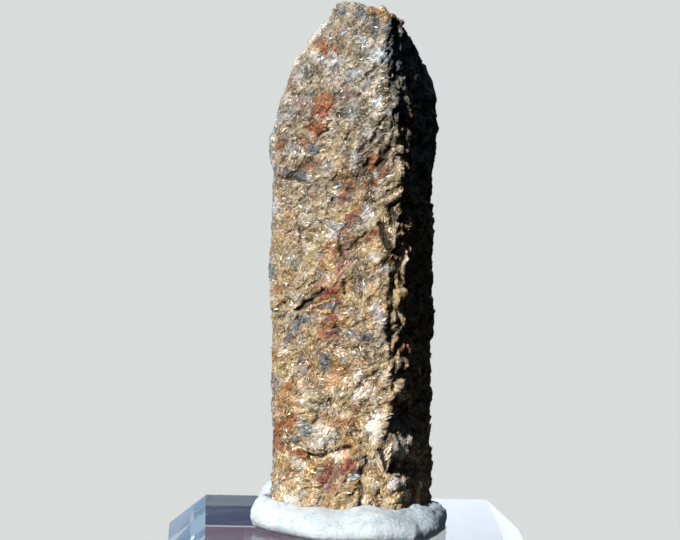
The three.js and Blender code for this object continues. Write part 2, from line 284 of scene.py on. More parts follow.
# The faces that the light doesn't reach carry stains of the same kinds, scattered.
SCATTERED = (("right", 3), ("back", 16), ("left", 16))
SCATTER_SEED = 31
LEAST_SCATTERED = (-6, 3, 0.5, 0.4, -30, 0.7)  # the least of each of a mark's numbers
MOST_SCATTERED = (6, 46, 1.7, 1.6, 30, 1.4)
SCATTERED_KINDS = ("rust", "satin", "red", "ochre", "graphite", "graphite", "silver", "silver")


class Cloud(NamedTuple):
    """Faint clouds of a stain all over: their size, a seed, their strength, that between them, and
    the share of both that is left near the tip."""

    kind: str
    size: float
    seed: int
    most: float
    least: float
    aloft: float


CLOUDS = (
    Cloud("ochre", 2.3, 73, 0.6, 0.15, 0.6),
    Cloud("rust", 1.7, 74, 0.55, 0.2, 0.5),
    Cloud("red", 1.2, 77, 0.4, 0.1, 0.6),
    Cloud("graphite", 1.9, 75, 0.5, 0.17, 1.1),
    Cloud("silver", 1.1, 76, 0.6, 0.15, 1.0),
    Cloud("satin", 1.4, 78, 0.7, 0.15, 0.8),
)
STAIN_KINDS = tuple(cloud.kind for cloud in CLOUDS)


def every_stain():
    """The kind, the face and the mark of each stain: those listed, then the scattered ones."""
    for (kind, face), rows in STAINS.items():
        for row in rows:
            yield kind, face, Mark(*row)
    rng = np.random.default_rng(SCATTER_SEED)
    for face, count in SCATTERED:
        for kind in SCATTERED_KINDS[:count]:
            for _ in range(max(1, count // len(SCATTERED_KINDS) + 1)):
                yield kind, face, Mark(*rng.uniform(LEAST_SCATTERED, MOST_SCATTERED))


def stain_strengths(points):
    """How strongly each kind of stain shows at each point, from 0 up."""
    found = {kind: np.zeros(len(points)) for kind in STAIN_KINDS}
    placed = {face: on_face(points, face) for face in FACES}
    # the edge of a patch wanders, so that none looks like an ellipse
    wander = 0.5 * noise(points, 0.9 * MM, 71) + 0.5 * noise(points, 0.35 * MM, 72)
    for kind, face, mark in every_stain():
        out, across, height = placed[face]
        along, up = across_mark(mark, across, height)
        here = 1 - smoothstep(np.sqrt(along**2 + up**2) + wander, 0.5, 1.5)
        facing = smoothstep(out, 0.45 * PRISM_HALF, 0.75 * PRISM_HALF)
        found[kind] = np.maximum(found[kind], mark.strength * here * facing)
    high = smoothstep(points[:, 2] - FOOT, 30 * MM, 44 * MM)
    # the painted highlight of the rim and the strongest painted sheen keep clear of the faint clouds
    sheen_and_rim = smoothstep(found["satin"], 1.4, 2.1)
    for cloud in CLOUDS:
        share = smoothstep(noise(points, cloud.size * MM, cloud.seed), 0.1, 0.6)
        faint = cloud.least + (cloud.most - cloud.least) * share
        faint *= (1 - (1 - cloud.aloft) * high) * (1 - sheen_and_rim)
        found[cloud.kind] = np.maximum(found[cloud.kind], faint)
    return found


def calmness(strengths):
    """How flat and even the mica lies: its fresh plates are the calm ones."""
    return smoothstep(np.maximum(strengths["silver"], strengths["satin"]), 0.55, 1.1)


class Crack(NamedTuple):
    """A crack across the front: the places that it runs through, its width and its depth."""

    path: tuple
    wide: float
    deep: float


CRACKS = (
    Crack(((-3.9, 21.9), (-2.7, 22.7), (-1.1, 24.0)), 0.22, 0.5),
    Crack(((0.7, 29.4), (0.7, 28.6), (0.8, 27.5)), 0.14, 0.4),
    Crack(((1.3, 24.7), (1.3, 23.6)), 0.14, 0.35),
    Crack(((1.4, 28.3), (2.2, 28.9), (3.4, 30.0)), 0.14, 0.3),
    Crack(((1.4, 39.0), (2.0, 40.0)), 0.14, 0.35),
    Crack(((2.8, 38.0), (3.5, 39.2)), 0.14, 0.35),
    Crack(((5.5, 38.6), (4.6, 36.7)), 0.3, 0.6),
    Crack(((3.6, 37.4), (3.2, 36.4)), 0.16, 0.35),
    Crack(((5.3, 47.6), (4.2, 46.2)), 0.16, 0.35),
    Crack(((-2.6, 6.9), (-1.2, 7.0), (0.1, 7.4), (1.4, 8.2)), 0.18, 0.45),
    Crack(((-2.1, 10.4), (-1.6, 11.1)), 0.14, 0.35),
    Crack(((-1.4, 12.3), (-0.2, 12.9)), 0.12, 0.25),
    Crack(((3.1, 7.3), (2.9, 4.8), (2.7, 2.0)), 0.16, 0.4),
    Crack(((4.4, 3.2), (5.6, 4.6)), 0.16, 0.35),
    Crack(((1.6, 3.0), (3.0, 4.2)), 0.14, 0.35),
    Crack(((5.0, 8.0), (5.6, 5.8)), 0.2, 0.5),
    Crack(((-6.9, 21.2), (-6.0, 21.6), (-5.2, 22.4)), 0.14, 0.3),
    Crack(((2.2, 20.3), (3.6, 21.2)), 0.12, 0.25),
    Crack(((4.9, 30.9), (5.5, 29.2), (6.1, 28.0)), 0.24, 0.5),
    Crack(((5.6, 32.6), (6.3, 31.2)), 0.24, 0.5),
    Crack(((-3.6, 28.6), (-3.4, 30.2)), 0.12, 0.25),
    Crack(((-5.8, 35.1), (-3.0, 34.9), (-1.6, 34.4)), 0.16, 0.2),
    Crack(((-1.6, 39.2), (-0.4, 40.2)), 0.14, 0.3),
    Crack(((5.0, 41.0), (4.0, 39.0)), 0.16, 0.35),
)


def crack_depth(points):
    """How far the cracks sink each point."""
    out, across, height = on_face(points, "front")
    wander = 0.25 * MM * noise(points, 0.7 * MM, 81)
    spot = np.stack([across + wander, height - wander], axis=1)
    depth = np.zeros(len(points))
    for crack in CRACKS:
        nearest = np.full(len(points), np.inf)
        for start, end in itertools.pairwise(np.array(crack.path) * MM):
            way = end - start
            share = np.clip((spot - start) @ way / (way @ way), 0, 1)
            away = np.linalg.norm(spot - start - share[:, None] * way, axis=1)
            nearest = np.minimum(nearest, away)
        sunk = crack.deep * MM * np.exp(-((nearest / (crack.wide * MM)) ** 2))
        depth = np.maximum(depth, sunk)
    return np.where(out > FACING, depth, 0)


# What stands out of a face.
LUMPS = {
    # beyond the front right edge, where they reach back into the light
    "right": (
        (-4.2, 41.6, 0.4, 0.5, 0, 0.6),
        (-3.9, 38.7, 0.4, 1.4, 0, 0.8),
        (-3.9, 29.2, 0.3, 1.1, 0, 0.7),
        (-4.4, 26.2, 0.3, 1.5, 10, 0.7),
        (-4.6, 23.9, 0.8, 1.1, 0, 0.8),
        (-4.4, 20.8, 0.5, 0.8, 0, 0.7),
        (-4.2, 18.4, 0.25, 0.6, 25, 0.6),
        (-3.2, 18.1, 0.2, 0.8, -12, 0.9),
        (-3.8, 16.5, 0.3, 0.5, -15, 0.8),
        (-4.5, 8.8, 0.18, 1.1, 8, 0.6),
        (-3.9, 8.1, 0.15, 0.9, -6, 0.6),
        (-3.3, 8.7, 0.14, 0.8, 5, 0.6),
        (-4.1, 5.4, 0.3, 0.4, 0, 0.4),
    ),
    # the blunt corner of the tip
    "front": (
        (0.2, 52.4, 1.1, 0.9, 0, 0.55),
    ),
}


def lumps_rise(points):
    """How far the lumps raise each point."""
    total = np.zeros(len(points))
    wander = 0.3 * MM * noise(points, 0.8 * MM, 83)
    for face, rows in LUMPS.items():
        out, across, height = on_face(points, face)
        for row in rows:
            lump = Mark(*row)
            along, up = across_mark(lump, across + wander, height - wander)
            shape = np.exp(-(along**2) - up**2)
            total += np.where(out > FACING, lump.strength * MM * shape, 0)
    return total


# ---- Meshes ----


def make_mesh(name, points, faces, uvs, values):
    """A mesh with its map for baking, and a number at each point for each name in values."""
    mesh = bpy.data.meshes.new(name)
    mesh.from_pydata(points.tolist(), [], faces)
    layer = mesh.uv_layers.new(name="OFBake")
    layer.uv.foreach_set("vector", np.asarray(uvs, np.float32).ravel())
    for key, numbers in values.items():
        attribute = mesh.attributes.new(key, "FLOAT", "POINT")
        attribute.data.foreach_set("value", np.asarray(numbers, np.float32))
    mesh.update()
    return mesh


def add_object(name, data):
    """Puts an object in the scene."""
    made = bpy.data.objects.new(name, data)
    bpy.context.scene.collection.objects.link(made)
    return made


def add_piece(name, mesh, material, replaces=()):
    """Puts a mesh in the scene as a piece of the specimen."""
    piece = add_object(name, mesh)
    mesh.materials.append(material)
    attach(piece, BODY)
    if replaces:
        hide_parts(*replaces)


CAP_SHARE = 0.02  # how much of the baking map each end of a skin takes


def grid_face(row, column, shape, low, high):
    """A face of a grid that closes round, and its corners in a baking map, from low to high."""
    rows, columns = shape
    above, beside = (row + 1) % rows, (column + 1) % columns
    corners = [(row, column), (row, beside), (above, beside), (above, column)]
    left, right = column / columns, (column + 1) / columns
    square = [(left, low), (right, low), (right, high), (left, high)]
    return tuple(r * columns + c for r, c in corners), square


def capped_faces(rows, columns):
    """The faces of a closed skin and its baking map. The points are its rings from the bottom up,
    then the middle of the bottom, then the top."""
    bottom, top = rows * columns, rows * columns + 1
    last = bottom - columns
    faces, uvs = [], []
    height = (1 - 2 * CAP_SHARE) / (rows - 1)
    for c in range(columns):
        d = (c + 1) % columns
        left, right, middle = c / columns, (c + 1) / columns, (c + 0.5) / columns
        faces.append((bottom, d, c))
        uvs += [(middle, 0), (right, CAP_SHARE), (left, CAP_SHARE)]
        for r in range(rows - 1):
            low, high = CAP_SHARE + r * height, CAP_SHARE + (r + 1) * height
            face, square = grid_face(r, c, (rows, columns), low, high)
            faces.append(face)
            uvs += square
        faces.append((last + c, last + d, top))
        uvs += [(left, 1 - CAP_SHARE), (right, 1 - CAP_SHARE), (middle, 1)]
    return faces, uvs


def unit(vectors):
    return vectors / np.maximum(np.linalg.norm(vectors, axis=-1, keepdims=True), 1e-12)


def grid_normals(grid, closed=False):
    """The outward direction at each point of a grid of rings, which may close both ways."""
    across = np.roll(grid, -1, axis=1) - np.roll(grid, 1, axis=1)
    if closed:
        return unit(np.cross(across, np.roll(grid, -1, axis=0) - np.roll(grid, 1, axis=0)))
    return unit(np.cross(across, np.gradient(grid, axis=0)))


def relaxed(grid, times, closed=False):
    """A grid of rings with its facets smoothed out."""
    for _ in range(times):
        before, after = (grid[-1:], grid[:1]) if closed else (grid[:1], grid[-1:])
        ends = np.concatenate([before, grid, after])
        beside = np.roll(grid, 1, axis=1) + np.roll(grid, -1, axis=1)
        grid = (4 * grid + beside + ends[:-2] + ends[2:]) / 8
    return grid


def solid_surface(node):
    """A CAD node's surface, for casting rays at."""
    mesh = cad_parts[node].data
    corners = [v.co.copy() for v in mesh.vertices]
    return BVHTree.FromPolygons(corners, [tuple(p.vertices) for p in mesh.polygons])


def cast(surface, start, direction):
    hit = surface.ray_cast(Vector(start), Vector(direction))[0]
    if hit is None:
        raise RuntimeError(f"no surface was found from {tuple(start)}")
    return tuple(hit)


# ---- The crystal's skin ----

SKIN_COLUMNS = 336
SKIN_SIDE_ROWS = 202
SKIN_TIP_ROWS = 78
TIP_CENTRE = 40 * MM  # where the rays fan out to the tip from, above the foot
FIRST_ROW = 0.04 * MM
CROWN_ROWS = 9  # how many of the last rings fade into the top


def skin_rays():
    """Where each ray starts and points: level out of the axis, then fanning up to the tip."""
    turns = np.arange(SKIN_COLUMNS) / SKIN_COLUMNS * 2 * math.pi
    for row in range(SKIN_SIDE_ROWS + SKIN_TIP_ROWS):
        side = min(row / SKIN_SIDE_ROWS, 1)
        start = axis_point(FIRST_ROW + side * (TIP_CENTRE - FIRST_ROW))
        rise = max(row - SKIN_SIDE_ROWS, 0) / SKIN_TIP_ROWS * math.pi / 2
        for turn in turns:
            yield start, (
                math.cos(turn) * math.cos(rise),
                math.sin(turn) * math.cos(rise),
                math.sin(rise),
            )


# The front right edge is broken back to these places: the height, and across the front face.
BROKEN_EDGE = (
    (0.0, 6.6), (4.0, 6.5), (5.5, 5.4), (7.0, 5.7), (8.3, 6.2), (10.5, 5.3), (12.5, 5.8),
    (14.0, 6.3), (15.5, 5.8), (16.7, 6.0), (19.6, 5.6), (22.5, 5.9), (25.0, 5.8), (28.0, 6.4),
    (31.0, 6.6), (32.4, 6.1), (34.0, 6.7), (36.5, 6.8), (38.0, 6.0), (40.8, 6.4), (43.5, 6.4),
    (45.5, 6.1), (47.0, 5.8), (49.6, 5.9), (50.5, 5.75), (51.3, 5.85),
)
BREAK_TURN = math.radians(7)  # how far the break turns out of the right face towards the front


def broken_back(grid):
    """The grid with its front right edge drawn in towards the axis, as far as the break."""
    points = grid.reshape(-1, 3)
    out, across, height = on_face(points, "front")
    heights, places = np.array(BROKEN_EDGE).T * MM
    edge = np.interp(height + 0.4 * MM * noise(points, 1.1 * MM, 85), heights, places)
    edge += 0.35 * MM * noise(points, 0.9 * MM, 87)
    reach = across * math.cos(BREAK_TURN) + out * math.sin(BREAK_TURN)
    most = edge * math.cos(BREAK_TURN) + PRISM_HALF * math.sin(BREAK_TURN)
    share = np.minimum(most / np.maximum(reach, 1e-9), 1)
    share = np.where(reach > 0, share, 1)
    drawn = points.copy()
    middle = -PRISM_LEAN * height
    drawn[:, 0] = middle + (points[:, 0] - middle) * share
    drawn[:, 1] = points[:, 1] * share
    return drawn.reshape(grid.shape)


def base_skin():
    """The solid's surface as a fine grid of rings, with its facets smoothed out."""
    surface = solid_surface("crystal")
    hits = [cast(surface, start, direction) for start, direction in skin_rays()]
    grid = np.array(hits).reshape(SKIN_SIDE_ROWS + SKIN_TIP_ROWS, SKIN_COLUMNS, 3)
    top = cast(surface, axis_point(TIP_CENTRE), (0, 0, 1))
    return relaxed(broken_back(relaxed(grid, 3)), 1), np.array(top)


LEDGE_ACROSS = np.array([-0.45, 0.15, 0.88])
FOLD_ACROSS = np.array([-0.74, 0.1, 0.66])
PLATE_CALM = 0.45  # how much flatter the fresh plates are
EDGE_CALM = 0.6  # how much flatter the front left edge is
LEAST_RISE = 0.02 * MM  # how far the whole skin stands out of the solid
RIB_EDGE = PRISM_TURN - math.pi / 4  # the front right edge, where the light stops
EVEN_EDGE = PRISM_TURN - 3 * math.pi / 4  # the front left edge, which is the least broken


def ledges(points, across, spacing, step, seed):
    """Thin sheets that crop out as slanting ledges, which wave and fade in and out."""
    across = across / np.linalg.norm(across)
    wave = 1.3 * noise(points, 4 * MM, seed) + 0.5 * noise(points, 1.5 * MM, seed + 1)
    along = points @ across / spacing + wave
    strength = smoothstep(noise(points, 3 * MM, seed + 2), -0.2, 0.4)
    return step * strength * (along - np.floor(along) - 0.5)


def folds(points, size, seed, stretch=2.6):
    """Crumpled folds with sharp crests, size apart, which run along the rock's sheets."""
    across = FOLD_ACROSS / np.linalg.norm(FOLD_ACROSS)
    bent = points @ across * (stretch - 1) + 1.2 * size * noise(points, 2.2 * size, seed)
    squeezed = points + np.outer(bent, across)
    return 0.5 - smoothstep(np.abs(noise(squeezed, size * stretch, seed + 1)), 0, 0.45)


def near_edge(points, edge, width):
    """How near each point is to an upright edge, from 1 on it down to 0."""
    turn = np.arctan2(points[:, 1], points[:, 0] + PRISM_LEAN * (points[:, 2] - FOOT))
    return np.exp(-(((turn - edge) / width) ** 2))


def edge_ribs(points):
    """Upright splinters along the front right edge."""
    near = near_edge(points, RIB_EDGE, 0.45)
    coarse = noise(points, 0.75 * MM, 41, stretch=4.5)
    return near * (coarse + 0.5 * noise(points, 0.4 * MM, 43, stretch=5))


def foliated(points):
    """How much the mica lies in broad folded sheets rather than in a fine felt: most near the foot."""
    return 1 - smoothstep(points[:, 2] - FOOT, 9 * MM, 24 * MM)


def skin_relief(points, settings):
    """How far the weathered surface stands out of the plain one. Each layer is its height times its
    shape, which has a size and a seed of its own."""
    low = foliated(points)
    relief = ledges(points, LEDGE_ACROSS, 1.1 * MM, settings.ledge_height, 11)
    relief += ledges(points, FOLD_ACROSS, 1.9 * MM, 0.24 * MM, 15) * (0.15 + 0.85 * low)
    relief += 0.19 * MM * folds(points, 1.2 * MM, 55) * (0.3 + 0.7 * low)
    relief += 0.05 * MM * folds(points, 0.5 * MM, 57)
    relief += plates(points, settings.plate_size, 21, 0.17, 0.05)
    relief += plates(points, settings.plate_size / 2.2, 31, 0.13, 0.06)
    relief -= 0.11 * MM * smoothstep(noise(points, 0.5 * MM, 59), 0.25, 0.7) * (1 - 0.5 * low)
    relief += 0.36 * MM * edge_ribs(points)
    relief += 0.1 * MM * noise(points, 1.7 * MM, 51)
    relief += 0.03 * MM * noise(points, 0.6 * MM, 52)
    relief *= 1 - PLATE_CALM * calmness(stain_strengths(points))
    relief *= 1 - EDGE_CALM * near_edge(points, EVEN_EDGE, 0.16)
    return LEAST_RISE + relief + lumps_rise(points) - crack_depth(points)


class Skin(NamedTuple):
    """The crystal's finished surface, as a grid of rings."""

    points: np.ndarray
    normals: np.ndarray
    relief: np.ndarray
    top: np.ndarray


def weathered_skin(settings):
    grid, top = base_skin()
    normals = grid_normals(grid)
    relief = skin_relief(grid.reshape(-1, 3), settings).reshape(grid.shape[:2])
    # the last rings are crowded round the top, so their relief fades into one height
    fade = smoothstep(np.arange(len(grid)), len(grid) - 2, len(grid) - CROWN_ROWS)[:, None]
    crown = relief[-CROWN_ROWS].mean()
    relief = relief * fade + crown * (1 - fade)
    top = top + np.array([0, 0, crown])
    return Skin(grid + normals * relief[..., None], normals, relief, top)


# ---- Flakes of mica ----

FLAKE_CORNERS = 4
FLAKE_ROOT = 0.07 * MM  # how deep a flake's root is
FLAKE_RISE = 0.09 * MM  # how far a flake's corner may stand out of the plain surface
CRACK_LIP = 0.06 * MM  # where the surface sinks more than this, the crack has no flakes
LONGEST_HALF = 0.42 * MM  # half the length of the longest flake
FELT_SLANT = math.radians(35)  # the flakes mostly climb to the right
PATCH_TILT = math.radians(9)  # how far a patch of flakes may tilt as one
BURIED = 0.9 * MM  # flakes below this height are inside the tack
ATLAS_MARGIN = 0.08


def spots_on(skin, count, rng):
    """Random places on the skin, spread evenly by area, with the direction of the surface at each
    and that of the plain surface under it. None is in a crack."""
    grid, normals = skin.points, grid_normals(relaxed(skin.points, 1))
    a = grid[:-1]
    b = np.roll(grid, -1, axis=1)[:-1]
    d = grid[1:]
    area = np.linalg.norm(np.cross(b - a, d - a), axis=2)
    area[a[..., 2] < FOOT + BURIED] = 0
    total = np.cumsum(area.ravel())
    picked = np.searchsorted(total, rng.random(count) * total[-1])
    row, column = np.divmod(picked, grid.shape[1])
    beside = (column + 1) % grid.shape[1]
    s, t = rng.random((2, count, 1))
    low = (1 - s) * grid[row, column] + s * grid[row, beside]
    high = (1 - s) * grid[row + 1, column] + s * grid[row + 1, beside]
    points = (1 - t) * low + t * high
    clear = crack_depth(points) < CRACK_LIP
    return points[clear], normals[row, column][clear], skin.normals[row, column][clear]


def rotated(vectors, axes, angles):
    """Each vector turned round its own axis."""
    c, s = np.cos(angles)[:, None], np.sin(angles)[:, None]
    along = np.sum(vectors * axes, axis=1, keepdims=True)
    return vectors * c + np.cross(axes, vectors) * s + axes * along * (1 - c)


class FlakeKind(NamedTuple):
    """One kind of flake: its length and slimness as shares, how much each is tilted in degrees and
    stands out in millimetres, how pale it is, and its finish."""

    name: str
    seed: int
    length: float
    slim: float
    tilt: float
    lift: float
    shade: float
    finish: str
    metallic: float
    rough: tuple


FLAKE_KINDS = (
    FlakeKind("golden_mica_flakes", 101, 1.0, 0.28, 11, 0.02, 0.53, "golden_mica", 0.06, (0.34, 0.58)),
    FlakeKind("silver_mica_flakes", 202, 1.0, 0.25, 20, 0.03, 0.6, "silver_mica", 0.14, (0.2, 0.42)),
    FlakeKind("weathered_mica_crumbs", 303, 0.75, 0.35, 14, 0.01, 0.36, "weathered_mica", 0.0, (0.45, 0.7)),
)


def flake_frames(points, normals, calm, kind, rng):
    """Each flake's long and short directions. Flakes in one patch lie nearly alike."""
    count = len(points)
    cell, _ = patches(points, 1.5 * MM, kind.seed)
    swing = FELT_SLANT + 1.5 * noise(points, 2.4 * MM, 401) + rng.normal(0, 0.3, count)
    swing += 1.2 * (random_at(cell, kind.seed + 8) - 0.5)
    upright = np.array([0.0, 0.0, 1.0]) + 0.01 * normals[:, [1, 2, 0]]
    side = unit(np.cross(upright, normals))
    long = rotated(side, normals, swing)
    patch_tilt = PATCH_TILT * (2 * random_at(cell, kind.seed + 9) - 1)
    loose = math.radians(kind.tilt) * (1 - 0.5 * foliated(points)) * (1 - 0.6 * calm)
    roll, pitch = np.clip(rng.normal(0, 1, (2, count)), -1.8, 1.8) * loose
    face = rotated(normals, long, patch_tilt + roll)
    short = unit(np.cross(face, long))
    face = rotated(face, short, 0.5 * pitch)
    return unit(np.cross(short, face)), short


def flake_points(spots, stretch, calm, kind, settings, rng):
    """Five points for each flake: four corners of its flat top, and its root in the rock."""
    points, normals, plain = spots
    count = len(points)
    long, short = flake_frames(points, normals, calm, kind, rng)
    length = settings.flake_length * kind.length * np.exp(rng.normal(0, 0.38, count)) / 2
    length = np.minimum(length, LONGEST_HALF) * stretch
    width = length * kind.slim * stretch * np.exp(rng.normal(0, 0.3, count))
    centre = points + normals * (rng.uniform(-0.6, 1.0, count) * kind.lift * MM)[:, None]
    made = np.zeros((count, FLAKE_CORNERS + 1, 3))
    for k, (along, sideways) in enumerate(((1, 0.15), (0.1, 1), (-1, -0.15), (-0.1, -1))):
        shake = rng.normal(0, 0.18, (2, count))
        way = long * (length * (along + shake[0]))[:, None]
        way += short * (width * (sideways + shake[1]))[:, None]
        proud = np.maximum(np.sum(way * plain, axis=1) - FLAKE_RISE, 0)
        made[:, k] = centre + way - plain * proud[:, None]
    made[:, FLAKE_CORNERS] = centre - normals * FLAKE_ROOT
    return made


def flake_faces(count):
    """The faces of all the flakes: a flat top and four sides down to the root."""
    first = np.arange(count)[:, None] * (FLAKE_CORNERS + 1)
    faces = (first + np.arange(FLAKE_CORNERS)).tolist()
    for k in range(FLAKE_CORNERS):
        faces += (first + np.array([(k + 1) % FLAKE_CORNERS, k, FLAKE_CORNERS])).tolist()
    return faces


def flake_map(count):
    """The flakes' baking map: a grid of cells, with a flake's top and its sides in each."""
    side = math.ceil(math.sqrt(count))
    row, column = np.divmod(np.arange(count), side)
    origin = np.stack([column, row], axis=1)[:, None, :]
    square = [(0.54, 0), (1, 0), (1, 1), (0.54, 1)]
    middle = (0.77, 0.5)
    shapes = [[(0, 0), (0.46, 0), (0.46, 1), (0, 1)]]
    shapes += [[square[(k + 1) % FLAKE_CORNERS], square[k], middle] for k in range(FLAKE_CORNERS)]
    inset = [np.array(shape) * (1 - 2 * ATLAS_MARGIN) + ATLAS_MARGIN for shape in shapes]
    return np.concatenate([((origin + spots) / side).reshape(-1, 2) for spots in inset])


# ---- Materials ----

COLOUR_A, COLOUR_B = 6, 7  # a Mix node's colour inputs
# The output that a node is linked by, where that isn't its first.
MAIN_OUTPUTS = {
    "ShaderNodeAttribute": "Fac",
    "ShaderNodeMix": 2,
    "ShaderNodeTexVoronoi": "Color",
    "ShaderNodeVectorMath": "Value",
}


def add_node(tree, kind, inputs=None, stops=(), **settings):
    """Adds a node. An input is set to its value, or linked where it is given a socket or a node."""
    node = tree.nodes.new("ShaderNode" + kind)
    for name, value in settings.items():
        setattr(node, name, value)
    for key, value in (inputs or {}).items():
        socket = node.inputs[key]
        if isinstance(value, bpy.types.Node):
            value = value.outputs[MAIN_OUTPUTS.get(value.bl_idname, 0)]
        if isinstance(value, bpy.types.NodeSocket):
            tree.links.new(value, socket)
        else:
            socket.default_value = (*value, 1) if socket.type == "RGBA" else value
    if stops:
        ramp = node.color_ramp
        while len(ramp.elements) < len(stops):
            ramp.elements.new(1)
        for element, (place, colour) in zip(ramp.elements, stops):
            element.position = place
            element.color = (*colour, 1)
    return node


def adder(owner):
    """Empties the node tree of a material or a world, and gives what adds nodes to it."""
    owner.use_nodes = True
    owner.node_tree.nodes.clear()
    return functools.partial(add_node, owner.node_tree)


def new_material(name):
    """An empty material, what adds nodes to it, and the places on the piece for its patterns."""
    material = bpy.data.materials.new(name)
    add = adder(material)
    return material, add, add("TexCoord").outputs["Object"]


def per(size):
    """A pattern's scale from its size."""
    return 1 / size


def stained(add, colour, kind, shade, chance):
    """The colour with a stain laid over it, from its dark tone to its light one. A stain takes to
    some grains and leaves others, and takes to more of them where it is strong."""
    dark, light = STAIN_TONES[kind]
    strength = add("Attribute", attribute_name=kind)
    # each kind picks grains of its own
    times = add("Math", {0: chance, 1: OWN_GRAINS[kind]}, operation="MULTIPLY")
    own = add("Math", {0: times}, operation="FRACT")
    taken = add("Math", {0: own, 1: -0.55, 2: strength}, operation="MULTIPLY_ADD")
    cover = add("MapRange", {"Value": taken, "From Max": 0.75, "To Max": 0.92})
    tone = add("ValToRGB", {"Fac": shade}, stops=((0.15, linear(dark)), (0.85, linear(light))))
    return add("Mix", {0: cover, COLOUR_A: colour, COLOUR_B: tone}, data_type="RGBA")


# A mica's shades: where each is, its share of the mica's colour, and how far it fades to the pale one.
WEATHERED_SHADES = ((0.0, 0.22, 0.0), (0.3, 0.55, 0.05), (0.6, 0.95, 0.2), (0.85, 1.1, 0.6))
STAIN_TONES = {
    # the satin's pale tone is partly the plates' own colour and partly a painted sheen
    "satin": ("#a99a7e", "#fbf5e6"),
    "silver": ("#8b9297", "#e6ecf0"),
    "ochre": ("#8a5d26", "#dca75e"),
    "rust": ("#5e2c12", "#cf8344"),
    "red": ("#56221a", "#c2684f"),
    "graphite": ("#2a3036", "#858f98"),
}
OWN_GRAINS = {kind: 7 + 4 * number for number, kind in enumerate(STAIN_TONES)}


def mica_shades(add, tint, colour, lightest):
    """One mica from its darkest shade to a pale one, paler in colour the lighter it is."""
    pale = linear(lightest)
    stops = [
        (place, tuple(share * (c * (1 - paler) + p * paler) for c, p in zip(colour, pale)))
        for place, share, paler in WEATHERED_SHADES
    ]
    return add("ValToRGB", {"Fac": tint}, stops=(*stops, (1.0, pale)))


def mineral_colour(add, settings, shade, chance, places):
    """The colour of weathered mica, each grain golden or grey, with its stains."""
    noise_inputs = {"Vector": places, "Scale": per(1.1 * MM), "Detail": 3.0, "Roughness": 0.6}
    blotches = add("TexNoise", noise_inputs)
    spread = {"From Min": 0.3, "From Max": 0.7, "To Min": -0.2, "To Max": 0.2}
    lighter = add("MapRange", {"Value": blotches, **spread})
    tint = add("Math", {0: lighter, 1: shade}, operation="ADD")
    warm = mica_shades(add, tint, settings.gold_colour, "#f3e8cf")
    cool = mica_shades(add, tint, settings.grey_colour, "#f4f1ea")
    greyness = add("Attribute", attribute_name="greyness")
    fresh = add("Math", {0: chance, 1: 0.4, 2: greyness}, operation="MULTIPLY_ADD")
    share = add("MapRange", {"Value": fresh, "From Min": 0.2, "From Max": 1.2})
    colour = add("Mix", {0: share, COLOUR_A: warm, COLOUR_B: cool}, data_type="RGBA")
    for kind in STAIN_TONES:
        colour = stained(add, colour, kind, shade, chance)
    return colour


def skin_material(settings):
    """Chiastolite altered to a felt of mica and weathered in the open: an uneven, earthy ground,
    dull between the flakes. Its hollows are painted darker, as a painted shade and the dirt that gathers
    there."""
    material, add, places = new_material("weathered_chiastolite")
    grain = add("TexVoronoi", {"Vector": places, "Scale": per(0.22 * MM)}, feature="F1")
    random = add("SeparateColor", {"Color": grain}).outputs
    shade = random["Red"]
    dim = add("Math", {0: shade, 1: 0.6, 2: 0.1}, operation="MULTIPLY_ADD")
    colour = mineral_colour(add, settings, dim, random["Green"], places)
    # painted shade: the deeper the relief sinks, the more the colour darkens to the hollow colour
    relief = add("Attribute", attribute_name="relief")
    depth = add("MapRange", {"Value": relief, "From Min": -0.24, "From Max": 0.12})
    shaded_hollows = add("Mix", {0: depth, COLOUR_A: settings.hollow_shade_colour, COLOUR_B: colour}, data_type="RGBA")
    grit = add("TexNoise", {"Vector": places, "Scale": per(0.1 * MM), "Detail": 3.0})
    bump = add("Bump", {"Height": grit, "Distance": 0.05 * MM, "Strength": 0.8})
    roughness = add("MapRange", {"Value": shade, "To Min": 0.5, "To Max": 0.85})
    finish = {"Base Color": shaded_hollows, "Roughness": roughness, "Normal": bump, "IOR": 1.63, "Metallic": 0.0}
    shader = add("BsdfPrincipled", finish)
    add("OutputMaterial", {"Surface": shader})
    return material


def flake_material(kind, settings):
    """Mica in thin sheets: many layers of air and mica mirror the light, so a flake gleams with its
    own tint like a dull metal when it faces the lamp, and is plain brown when it doesn't."""
    material, add, places = new_material(kind.finish)
    shade = add("Attribute", attribute_name="shade")
    chance = add("Attribute", attribute_name="chance")
    colour = mineral_colour(add, settings, shade, chance, places)
    streaks = add("TexNoise", {"Vector": places, "Scale": per(0.09 * MM), "Detail": 2.0})
    bump = add("Bump", {"Height": streaks, "Distance": 0.02 * MM, "Strength": 0.5})
    smooth, rough = kind.rough
    roughness = add("MapRange", {"Value": streaks, "To Min": smooth, "To Max": rough})
    finish = {"Base Color": colour, "Roughness": roughness, "Normal": bump, "IOR": 1.58}
    shader = add("BsdfPrincipled", {**finish, "Metallic": kind.metallic})
    add("OutputMaterial", {"Surface": shader})
    return material


